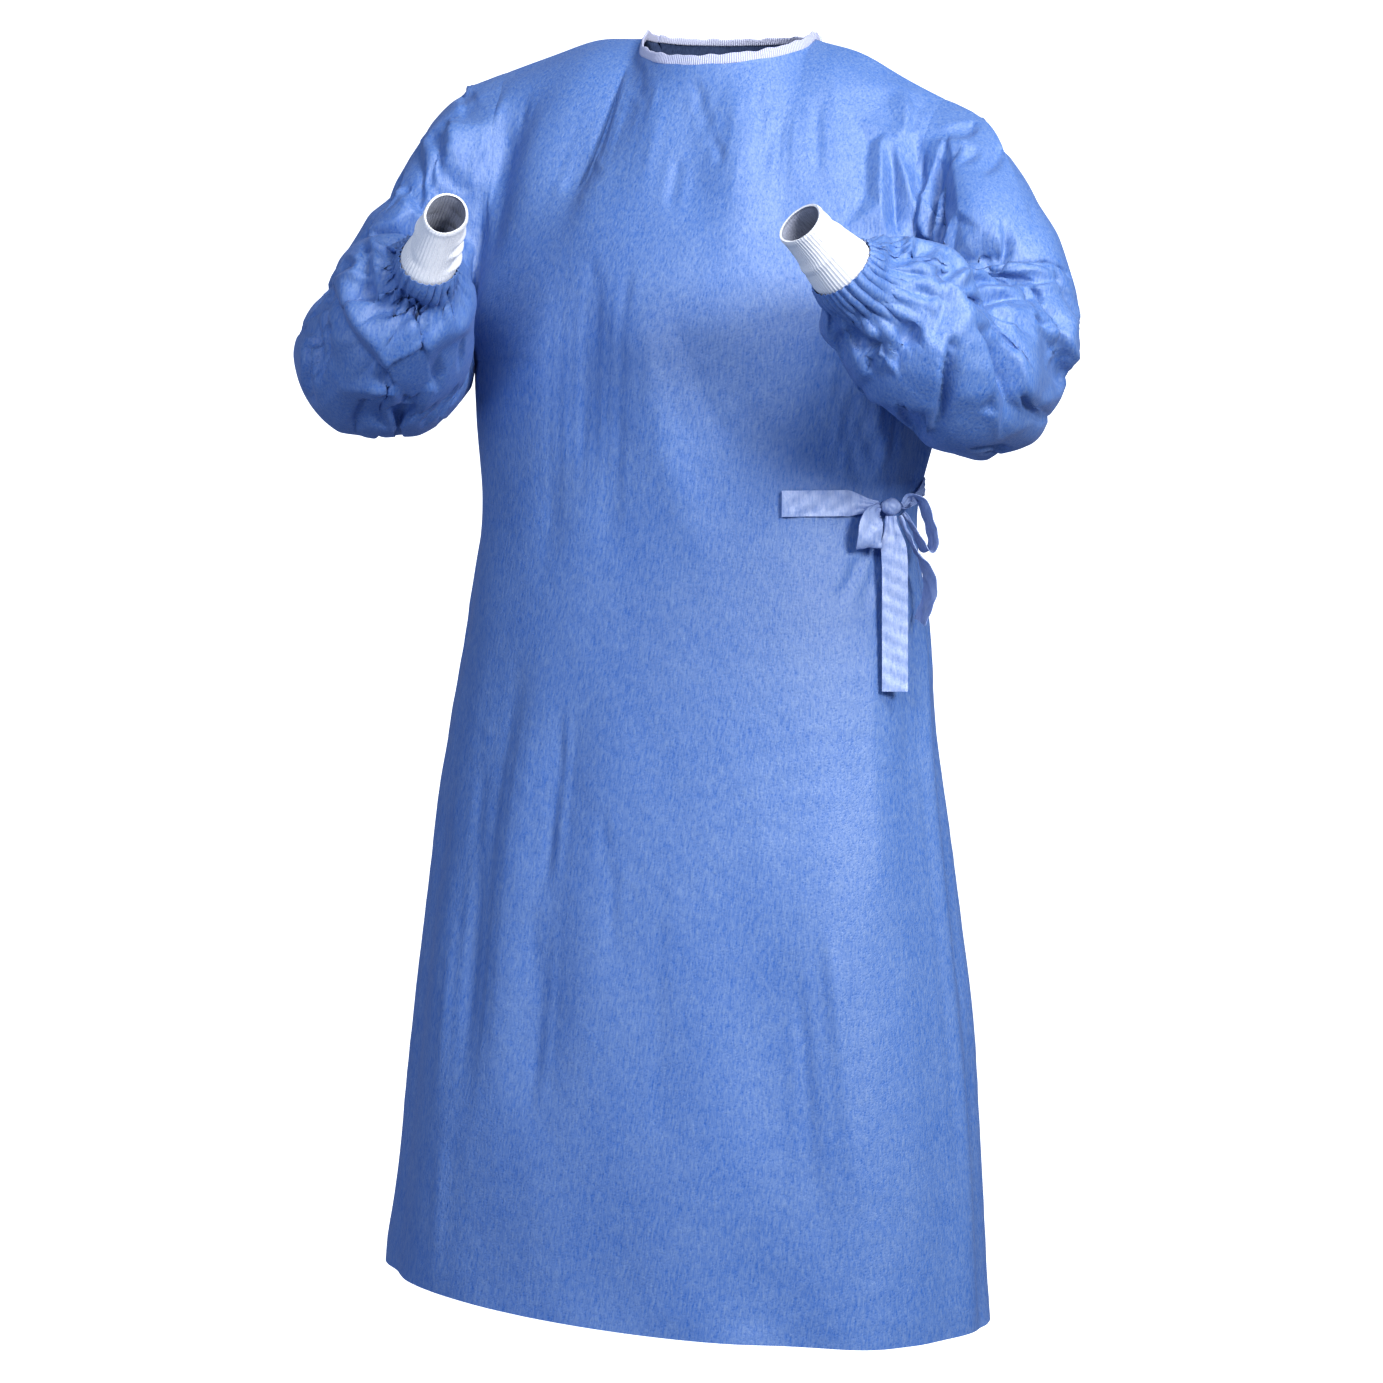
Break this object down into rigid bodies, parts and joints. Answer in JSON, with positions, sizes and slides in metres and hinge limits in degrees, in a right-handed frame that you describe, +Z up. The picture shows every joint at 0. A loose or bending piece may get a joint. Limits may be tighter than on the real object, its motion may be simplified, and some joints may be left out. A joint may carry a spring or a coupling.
{
  "type": "surgical gown",
  "caption": "Knee-length wrap-back surgical gown of blue nonwoven cloth, filled out as if worn, with bent sleeves, white knit cuffs, a bound neck and a bow at the side waist.",
  "frame": {"origin": "base of the neck, midway between the wearer's shoulders, where the shoulders carry the gown", "axes": "+Z up along the body, -Y towards the front of the gown, +X towards the wearer's left"},
  "size_m": [0.7789, 0.4757, 1.262],
  "materials": {
    "cloth": "matt blue spunbond nonwoven with a fine embossed grain",
    "rib_knit": "matt white rib knit",
    "binding": "pale grey-white binding with fine cross ribs",
    "tape": "slightly shiny blue nonwoven strip",
    "fastener": "white hook-and-loop patch"
  },
  "bodies": {
    "root": {"front_panel": "cloth", "back_left_panel": "cloth", "back_right_panel": "cloth", "sleeve_left_upper": "cloth", "sleeve_left_elbow": "cloth", "sleeve_left_forearm": "cloth", "sleeve_left_wrist": "cloth", "sleeve_right_upper": "cloth", "sleeve_right_elbow": "cloth", "sleeve_right_forearm": "cloth", "sleeve_right_wrist": "cloth", "cuff_left": "rib_knit", "cuff_right": "rib_knit", "neck_binding": "binding", "neck_fastener": "fastener", "front_tie": "tape", "belt": "tape", "bow_knot": "tape", "loop_front": "tape", "loop_side": "tape", "tail_long": "tape", "tail_short": "tape"}
  },
  "joints": []
}
